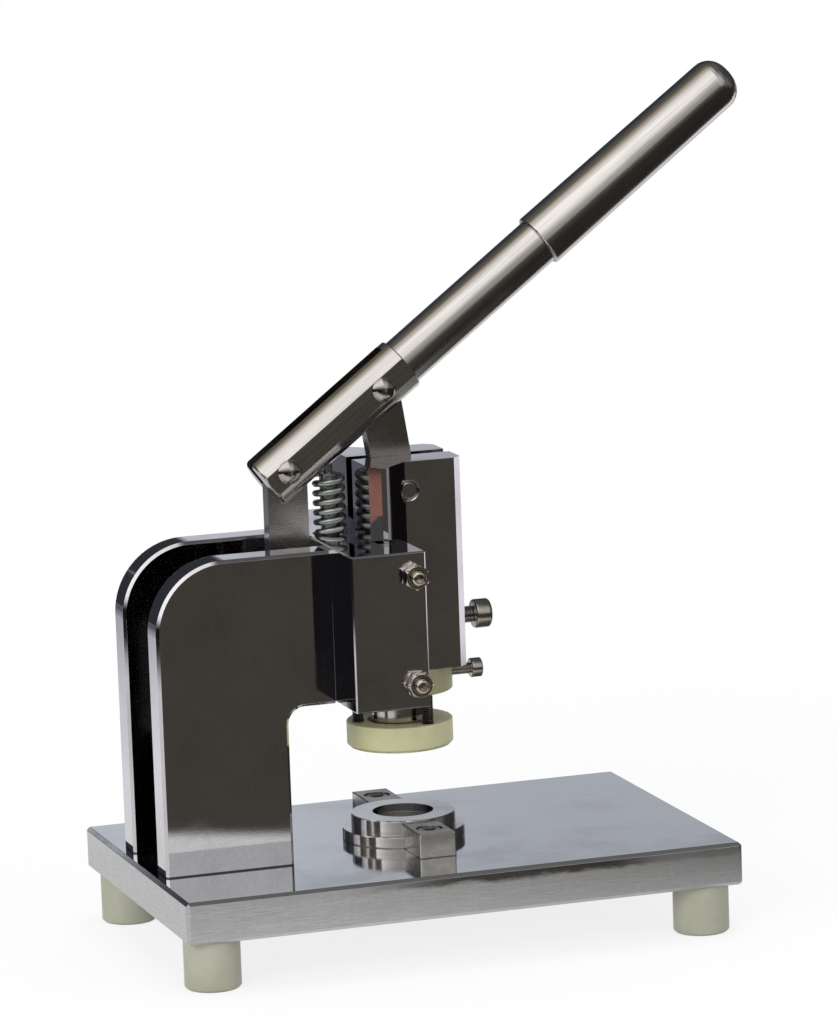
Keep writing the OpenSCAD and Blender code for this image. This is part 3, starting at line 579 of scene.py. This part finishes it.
def cap_screw(d, length, pitch, round_top, round_under):
    """Socket head screw: underside of the head on z = 0, shank below, head of the solid's size."""
    shank, head_r = d / 2, d * 0.85
    levels = [(-length, circle(shank * 0.8))]
    levels += thread(shank, -length + 0.4, -0.4, pitch, pitch * 0.3)
    levels += [(-0.3, circle(shank - pitch * 0.3)), (0, circle(shank - pitch * 0.3))]
    levels += rim(head_r, 0, round_under, 1) + rim(head_r, d, round_top, 0)
    levels += socket(d * 0.8, d, d * 0.55)
    return stacked(levels)


PITCH = {4: 0.7, 5: 0.8, 6: 1.0}


def cap_screws(name, mat, body, node, slot, d, length, places, direction, soft=0.1):
    """Socket head screws at places in mm, their heads pointing in direction."""
    turn = Vector((0, 0, 1)).rotation_difference(Vector(direction)).to_matrix().to_4x4()
    screw = cap_screw(d, length, PITCH[d], d * soft, d * min(soft, 0.1))
    shapes = [placed(screw, Matrix.Translation(Vector(p)) @ turn) for p in places]
    return piece(name, *join(shapes), mat, body, node, slot)


# Return spring, its ends upright in the lever's slot and in the guide block's seat
low, high = box_mm("return_spring")
spring_d, spring_wire, spring_curls = 11.5, 2.2, 6
spring_x = (low.x + high.x) / 2
half_turn = Matrix.Translation((spring_x, 0, low.z)) @ Matrix.Rotation(math.pi, 4, "Z")
coil = wound((spring_d - spring_wire) / 2, spring_wire, high.z - low.z, spring_curls, per=48, sides=18)
coil = piece("return_spring_wire", *placed(coil, half_turn), spring_m, "frame", "return_spring", "spring_steel")
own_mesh(coil)

# Three small springs round the punch
low, high = box_mm("stripper_springs")
small_d, small_wire, small_curls, small_reach = 4, 0.64, 14, 14.8
shapes = []
for angle in (-66, 54, 174):
    a = math.radians(angle)
    place = Matrix.Translation((PUNCH_X + small_reach * math.cos(a), small_reach * math.sin(a), low.z))
    small = wound((small_d - small_wire) / 2, small_wire, high.z - low.z, small_curls, per=24, sides=10)
    shapes.append(placed(small, place @ Matrix.Rotation(a, 4, "Z")))
small = piece("stripper_spring_wires", *join(shapes), black_m, "ram_body", "stripper_springs", "black_springs")
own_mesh(small)

# Screws seen at the front of the ram
for name, node, d, soft in (("punch_screw_turned", "punch_clamp_screw", 6, 0.2),
                            ("collar_screw_turned", "collar_screw", 4, 0.12)):
    low, high = box_mm(node)
    under_head = high.x - d
    cap_screws(name, screw_m, "ram_body", node, "bright_screws", d, under_head - low.x,
               [(under_head, 0, (low.z + high.z) / 2)], (1, 0, 0), soft)

# Screws of the die's clamps, the guide block, the rear post, the side plates and the feet
low, high = box_mm("die_clamp_screws")
cap_screws("die_clamp_screws_turned", under_m, "frame", "die_clamp_screws", "bright_screws", 5,
           high.z - 5 - low.z, [(PUNCH_X, side * CLAMP_SCREW_Y, high.z - 5) for side in (-1, 1)], (0, 0, 1))
for name, node, d, shares, rows in (
        ("guide_screws_turned", "guide_screws", 6, (0.23, 0.77), (-PLATE_Y, PLATE_Y)),
        ("post_screws_turned", "post_screws", 4, (0.19, 0.6), (0,))):
    low, high = box_mm(node)
    cap_screws(name, screw_m, "frame", node, "screw_steel", d, high.x - d - low.x,
               [(high.x - d, y, GUIDE_LOW.z + GUIDE_H * share) for share in shares for y in rows], (1, 0, 0))
low, high = box_mm("plate_screws")
cap_screws("plate_screws_turned", under_m, "frame", "plate_screws", "screw_steel", 6, high.z - low.z - 6,
           [(x, side * PLATE_Y, low.z + 6) for x in PLATE_SCREW_X for side in (-1, 1)], (0, 0, -1))
low, high = box_mm("foot_screws")
cap_screws("foot_screws_turned", under_m, "frame", "foot_screws", "screw_steel", 5, high.z - low.z - 5,
           [(x, y, low.z + 5) for x in (-FOOT_X, FOOT_X) for y in (-FOOT_Y, FOOT_Y)], (0, 0, -1))

# Set screws and their nuts on the near side of the guide block
low, high = box_mm("gib_set_screws")
nut_face = GUIDE_LOW.y
nut_d, nut_corner, nut_h = 5, 9.24, nut_face - box_mm("gib_lock_nuts")[0].y
gib_x = (low.x + high.x) / 2
toward = Matrix.Rotation(math.pi / 2, 4, "X")
set_length = high.y - low.y
set_levels = rim(nut_d / 2, 0, 0.5, 1) + thread(nut_d / 2, 0.7, set_length - 1.3, 0.8, 0.25)
set_levels += rim(nut_d / 2, set_length, 0.9, 0) + socket(2.8, set_length, 2.75)[1:]
nut_flats = nut_corner * math.cos(math.pi / 6)
bore = nut_d / 2 + 0.05
nut_levels = [(0, circle(bore)), (0, hexagon(nut_flats, nut_flats / 2))]
nut_levels += [(0.55, hexagon(nut_flats, nut_corner / 2)), (nut_h - 0.75, hexagon(nut_flats, nut_corner / 2))]
nut_levels += [(nut_h, hexagon(nut_flats, nut_flats / 2 - 0.1)), (nut_h, circle(bore + 0.3)),
               (nut_h - 0.3, circle(bore))]

screw_shapes, nut_shapes = [], []
for z, turn in ((low.z + nut_d / 2, 0), (high.z - nut_d / 2, 30)):
    spin = Matrix.Rotation(math.radians(turn), 4, "Z")
    screw_at = Matrix.Translation((gib_x, high.y, z)) @ toward @ spin
    screw_shapes.append(placed(stacked(set_levels), screw_at))
    nut_shapes.append(placed(tube(nut_levels), Matrix.Translation((gib_x, nut_face, z)) @ toward @ spin))
piece("set_screws_turned", *join(screw_shapes), set_m, "frame", "gib_set_screws", "bright_screws")
piece("lock_nuts_turned", *join(nut_shapes), set_m, "frame", "gib_lock_nuts", "bright_screws")


# ------------------------------------------------------------------ stage
# What the polished faces mirror: tones of the room, as linear colours
PALE = (1.0, 0.985, 1.04, 1)
GREY_FAR = (0.12, 0.12, 0.14, 1)
BROWN = (0.070, 0.064, 0.053, 1)
DUSK = (0.030, 0.027, 0.025, 1)
NIGHT = (0.012, 0.012, 0.014, 1)
NAVY = (0.035, 0.038, 0.047, 1)
RED = (0.31, 0.15, 0.115, 1)
BACKDROP = (0.60, 0.63, 0.69, 1)


def flat_card(name, corners, mat):
    """A flat part of the stage, which isn't exported."""
    mesh = bpy.data.meshes.new(name)
    mesh.from_pydata(corners, [], [(0, 1, 2, 3)])
    obj = bpy.data.objects.new(name, mesh)
    scene.collection.objects.link(obj)
    mesh.materials.append(mat)
    return obj


def floor_material():
    """White floor with the object's soft shadow; in mirrors a pale table before a dark room."""
    m = Mat("floor")
    rays = m.n("ShaderNodeLightPath")
    x, y, _ = m.xyz(m.n("ShaderNodeTexCoord").outputs["Object"])
    front_edge = m.math("SUBTRACT", y, m.math("MULTIPLY", x, 0.47))
    near = m.mix(m.step(x, -0.03, 0.07), (0.76, 0.77, 0.76, 1), (0.64, 0.65, 0.64, 1))
    table = m.mix(m.step(y, 0.12, 0.26), near, shade(PALE, 0.88))
    table = m.mix(m.step(x, 0.3, 0.55), table, PALE)
    table = m.mix(m.step(y, 0.25, 0.95), table, GREY_FAR)
    patch = m.math("MULTIPLY", m.step(m.math("ABSOLUTE", m.math("ADD", x, 0.91)), 0.09, 0.13, 1, 0),
                   m.step(m.math("ABSOLUTE", m.math("SUBTRACT", y, 0.12)), 0.03, 0.05, 1, 0))
    left = m.mix(patch, NIGHT, RED)
    seen = m.mix(m.step(x, -0.66, -0.55), left, table)
    front = m.mix(m.step(x, -0.17, -0.12), NIGHT, BROWN)
    seen = m.mix(m.step(front_edge, -0.224, -0.200), front, seen)
    # Painted shadow for mirrors: a dusky zone right of the object, at the table's front
    right_shadow = m.math("MULTIPLY", m.step(x, 0.16, 0.22), m.step(y, 0.08, 0.16, 1, 0))
    slanted = m.math("ADD", x, m.math("MULTIPLY", y, 0.42))
    right_shadow = m.math("MULTIPLY", right_shadow, m.step(slanted, 0.03, 0.1))
    seen = m.mix(right_shadow, seen, DUSK)
    reach = m.math("SQRT", m.math("ADD", m.math("MULTIPLY", x, x), m.math("MULTIPLY", y, y)))
    white_share = m.step(reach, 0.2, 0.6, 0.80, 1.0)
    diffuse = m.n("ShaderNodeBsdfDiffuse")
    diffuse.inputs["Color"].default_value = (0.86, 0.86, 0.87, 1)
    seen_share = m.math("MULTIPLY", rays.outputs["Is Camera Ray"], white_share)
    direct = m.either(seen_share, diffuse.outputs[0], m.glow((1, 1, 1, 1)))
    m.finish(m.either(rays.outputs["Is Glossy Ray"], direct, m.glow(seen)))
    return m.m


def backdrop_material():
    """Backdrop that only mirrors show: pale below and to the right, navy above."""
    m = Mat("backdrop")
    x, _, z = m.xyz(m.n("ShaderNodeTexCoord").outputs["Object"])
    lit = m.math("MULTIPLY", m.step(x, -0.15, 0.02), m.step(z, 0.375, 0.44, 1, 0))
    tone = m.mix(m.step(x, 0.26, 0.50), BACKDROP, shade(BACKDROP, 0.80))
    # A short pale strip that the left bevel of the base mirrors
    column = m.math("MULTIPLY", m.step(x, -0.412, -0.404), m.step(x, -0.34, -0.30, 1, 0))
    height = m.math("ABSOLUTE", m.math("SUBTRACT", z, 0.365))
    low_left = m.math("MULTIPLY", column, m.step(height, 0.025, 0.04, 1, 0))
    lit = m.math("MAXIMUM", lit, low_left)
    m.finish(m.glow(m.mix(lit, NAVY, tone)))
    return m.m


FLOOR_HALF = 12
BACKDROP_HALF, BACKDROP_Y, BACKDROP_TOP = 2, 1.3, 0.9
flat_card("floor", [(x * FLOOR_HALF, y * FLOOR_HALF, 0) for x, y in ((-1, -1), (1, -1), (1, 1), (-1, 1))],
          floor_material())
backdrop = flat_card("backdrop", [(x * BACKDROP_HALF, BACKDROP_Y, z * BACKDROP_TOP)
                                  for x, z in ((-1, 0), (1, 0), (1, 1), (-1, 1))], backdrop_material())
for kind in ("camera", "diffuse", "shadow", "transmission"):
    setattr(backdrop, "visible_" + kind, False)


def area(name, place, size, power):
    """A rectangular lamp that looks at the object and isn't seen in mirrors."""
    data = bpy.data.lights.new(name, "AREA")
    data.shape = "RECTANGLE"
    data.size, data.size_y = size
    data.energy = power
    obj = bpy.data.objects.new(name, data)
    scene.collection.objects.link(obj)
    obj.location = place
    obj.rotation_euler = (Vector(LAMPS_AIM) - Vector(place)).to_track_quat("-Z", "Y").to_euler()
    obj.visible_glossy = False


LAMPS_AIM = (0, 0, 0.1)
area("key", (-1.35, -1.2, 0.75), (1.1, 1.0), 22)
area("fill", (1.4, -1.1, 1.0), (1.2, 1.2), 5)
area("top", (0.1, 0.2, 1.9), (1.4, 1.4), 16)


def make_world():
    """White for the camera, soft for matt faces; for mirrors a window high in front, dark behind."""
    world = bpy.data.worlds.new("world")
    scene.world = world
    m = Mat("world", world, "ShaderNodeOutputWorld")
    x, y, z = m.xyz(m.n("ShaderNodeTexCoord").outputs["Generated"])
    angle = m.math("ARCTAN2", z, m.math("MULTIPLY", y, -1))
    share = m.math("DIVIDE", angle, math.pi)

    def ramp(stops):
        """Tones along the angle from the front horizon over the top, in degrees."""
        node = m.n("ShaderNodeValToRGB")
        m.put(node.inputs[0], share)
        elements = node.color_ramp.elements
        while len(elements) < len(stops):
            elements.new(0.5)
        for element, (degrees, tone) in zip(elements, stops):
            element.position = degrees / 180
            element.color = tone if isinstance(tone, tuple) else (tone, tone, tone * 0.99, 1)
        return node.outputs[0]

    # The window is on the left; the room is dimmer on the right
    window = ramp([(0, shade(BROWN, 0.7)), (5, 0.10), (14, 0.26), (24, 0.6), (36, 0.93), (50, 1.0), (62, 1.0),
                   (70, 0.95), (80, 0.68), (93, (0.47, 0.44, 0.38, 1)), (105, (0.20, 0.18, 0.14, 1)),
                   (115, (0.11, 0.10, 0.075, 1)), (130, 0.07), (146, NAVY), (180, NAVY)])
    room = ramp([(0, shade(BROWN, 0.7)), (3, BROWN), (9, 0.38), (14, 0.49), (30, 0.56), (50, 0.42), (65, 0.2),
                 (78, 0.09), (100, 0.09), (130, 0.08), (146, NAVY), (180, NAVY)])
    seen = m.mix(m.step(x, 0.0, 0.18), window, room)
    seen = m.mix(m.step(x, 0.45, 0.7, 0, 0.8), seen, DUSK)
    rays = m.n("ShaderNodeLightPath")
    background = "ShaderNodeBackground"
    matt = m.either(rays.outputs["Is Glossy Ray"], m.glow((0.97, 0.975, 1, 1), background, 0.55),
                    m.glow(seen, background, 1.4))
    m.finish(m.either(rays.outputs["Is Camera Ray"], matt, m.glow((1, 1, 1, 1), background)))


make_world()
